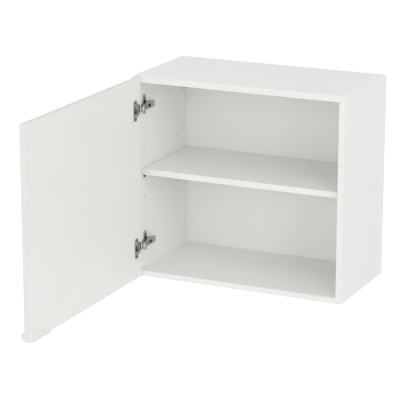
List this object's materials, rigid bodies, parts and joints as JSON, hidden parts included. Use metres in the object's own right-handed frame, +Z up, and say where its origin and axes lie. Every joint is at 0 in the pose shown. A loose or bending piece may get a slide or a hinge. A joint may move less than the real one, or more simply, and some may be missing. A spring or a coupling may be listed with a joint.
{
  "type": "hanging wall cabinet",
  "caption": "Shallow box cabinet hung on a wall, with an inner shelf and a side-hung door on concealed cup hinges whose links carry the door clear of its neighbour.",
  "frame": {"origin": "middle of the back face, on the wall plane", "axes": "+X along the width to the right, +Y into the wall, +Z up; the front faces -Y"},
  "size_m": [0.607, 0.9015, 0.5495],
  "materials": {
    "white_board": "smooth melamine facing",
    "white_edging": "smooth edge band",
    "white_back": "lacquered hardboard",
    "nickel_steel": "nickel plated",
    "black_screw": "black phosphated steel",
    "zinc": "zinc plated",
    "support_steel": "dull steel",
    "beech": "bare beech",
    "handle_plastic": "satin moulded plastic",
    "hanger_plastic": "moulded plastic"
  },
  "bodies": {
    "carcass": {"left_side_panel": "white_board", "right_side_panel": "white_board", "top_panel": "white_board", "bottom_panel": "white_board", "carcass_edging": "white_edging", "back_panel": "white_back", "back_panel_nails": "zinc", "cam_bolts": "zinc", "cam_housings": "zinc", "corner_dowels": "beech", "shelf_board": "white_board", "shelf_edging": "white_edging", "shelf_supports": "support_steel", "left_hanger_body": "hanger_plastic", "right_hanger_body": "hanger_plastic", "left_hanger_hook": "zinc", "right_hanger_hook": "zinc", "hanger_adjusting_screws": "zinc", "hanger_screws": "zinc", "upper_mounting_plate": "nickel_steel", "lower_mounting_plate": "nickel_steel", "mounting_plate_screws": "nickel_steel", "height_cams": "black_screw", "upper_hinge_arm": "nickel_steel", "lower_hinge_arm": "nickel_steel", "arm_fixing_screws": "black_screw", "overlay_screws": "nickel_steel", "arm_pivot_pins": "nickel_steel"},
    "edge_links": {"upper_edge_link": "nickel_steel", "lower_edge_link": "nickel_steel"},
    "door": {"door_panel": "white_board", "door_edging": "white_edging", "upper_hinge_cup": "nickel_steel", "lower_hinge_cup": "nickel_steel", "cup_screws": "nickel_steel", "cup_pivot_pins": "nickel_steel", "closing_springs": "nickel_steel", "door_handle": "handle_plastic", "handle_screws": "zinc"},
    "fork_links": {"upper_fork_link": "nickel_steel", "lower_fork_link": "nickel_steel", "nose_pivot_pins": "nickel_steel"}
  },
  "joints": [
    {"name": "edge_link_turn", "type": "hinge", "parent": "carcass", "child": "edge_links", "pos_m": [-0.271, -0.295, 0], "axis": [0, 0, 1], "range_deg": [-45, 2.69]},
    {"name": "door_swing", "type": "hinge", "parent": "edge_links", "child": "door", "pos_m": [-0.2752, -0.31496, 0], "axis": [0, 0, 1], "range_deg": [-7.49, 134.8]},
    {"name": "fork_link_turn", "type": "hinge", "parent": "door", "child": "fork_links", "pos_m": [-0.2758, -0.31933, 0], "axis": [0, 0, 1], "range_deg": [-136.25, 7.76]}
  ],
  "couplings": [
    {"joint": "edge_link_turn", "follows": "door_swing", "ratio": -0.33237},
    {"joint": "fork_link_turn", "follows": "door_swing", "ratio": -1.0092}
  ]
}
